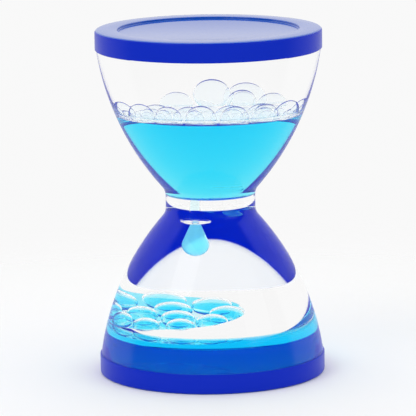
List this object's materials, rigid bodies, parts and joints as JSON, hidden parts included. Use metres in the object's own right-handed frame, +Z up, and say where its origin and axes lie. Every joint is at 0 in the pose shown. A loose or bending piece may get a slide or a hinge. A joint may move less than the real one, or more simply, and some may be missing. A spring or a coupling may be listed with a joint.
{
  "type": "liquid motion timer",
  "caption": "Sealed hourglass-shaped clear timer with coloured end caps, in which dyed drops fall and oil bubbles rise through a pair of nozzles at the neck.",
  "frame": {"origin": "centre of the foot, on the plane the timer stands on", "axes": "+Z up along the axis of the two chambers, -Y towards the front of the picture"},
  "size_m": [0.07, 0.07, 0.1075],
  "materials": {
    "cap_blue": "satin",
    "end_plate_blue": "satin",
    "plug_blue": "satin",
    "gasket_clear": "satin",
    "clear_shell": "polished",
    "clear_nozzle": "polished",
    "dyed_water": "polished",
    "clear_oil": "polished",
    "foam_film": "polished"
  },
  "bodies": {
    "timer": {"upper_cap": "cap_blue", "lower_cap": "cap_blue", "upper_end_plate": "end_plate_blue", "lower_end_plate": "end_plate_blue", "upper_gasket": "gasket_clear", "lower_gasket": "gasket_clear", "upper_fill_plug": "plug_blue", "lower_fill_plug": "plug_blue", "upper_chamber": "clear_shell", "lower_chamber": "clear_shell", "nozzle_plate": "clear_shell", "drip_nozzle": "clear_nozzle", "riser_nozzle": "clear_nozzle", "upper_dyed_water": "dyed_water", "lower_dyed_water": "dyed_water", "settled_beads": "dyed_water", "upper_clear_oil": "clear_oil", "lower_clear_oil": "clear_oil", "foam_bubbles": "foam_film"},
    "falling_drop": {"falling_drop": "dyed_water"},
    "rising_bubble": {"rising_bubble": "clear_oil"}
  },
  "joints": [
    {"name": "drop_fall", "type": "slide", "parent": "timer", "child": "falling_drop", "axis": [0, 0, -1], "range_m": [0, 0.0162], "deforming": ["lower_clear_oil"]},
    {"name": "bubble_rise", "type": "slide", "parent": "timer", "child": "rising_bubble", "axis": [0, 0, 1], "range_m": [0, 0.0135], "deforming": ["upper_dyed_water"]}
  ],
  "couplings": [
    {"joint": "bubble_rise", "follows": "drop_fall", "ratio": 0.83333}
  ]
}
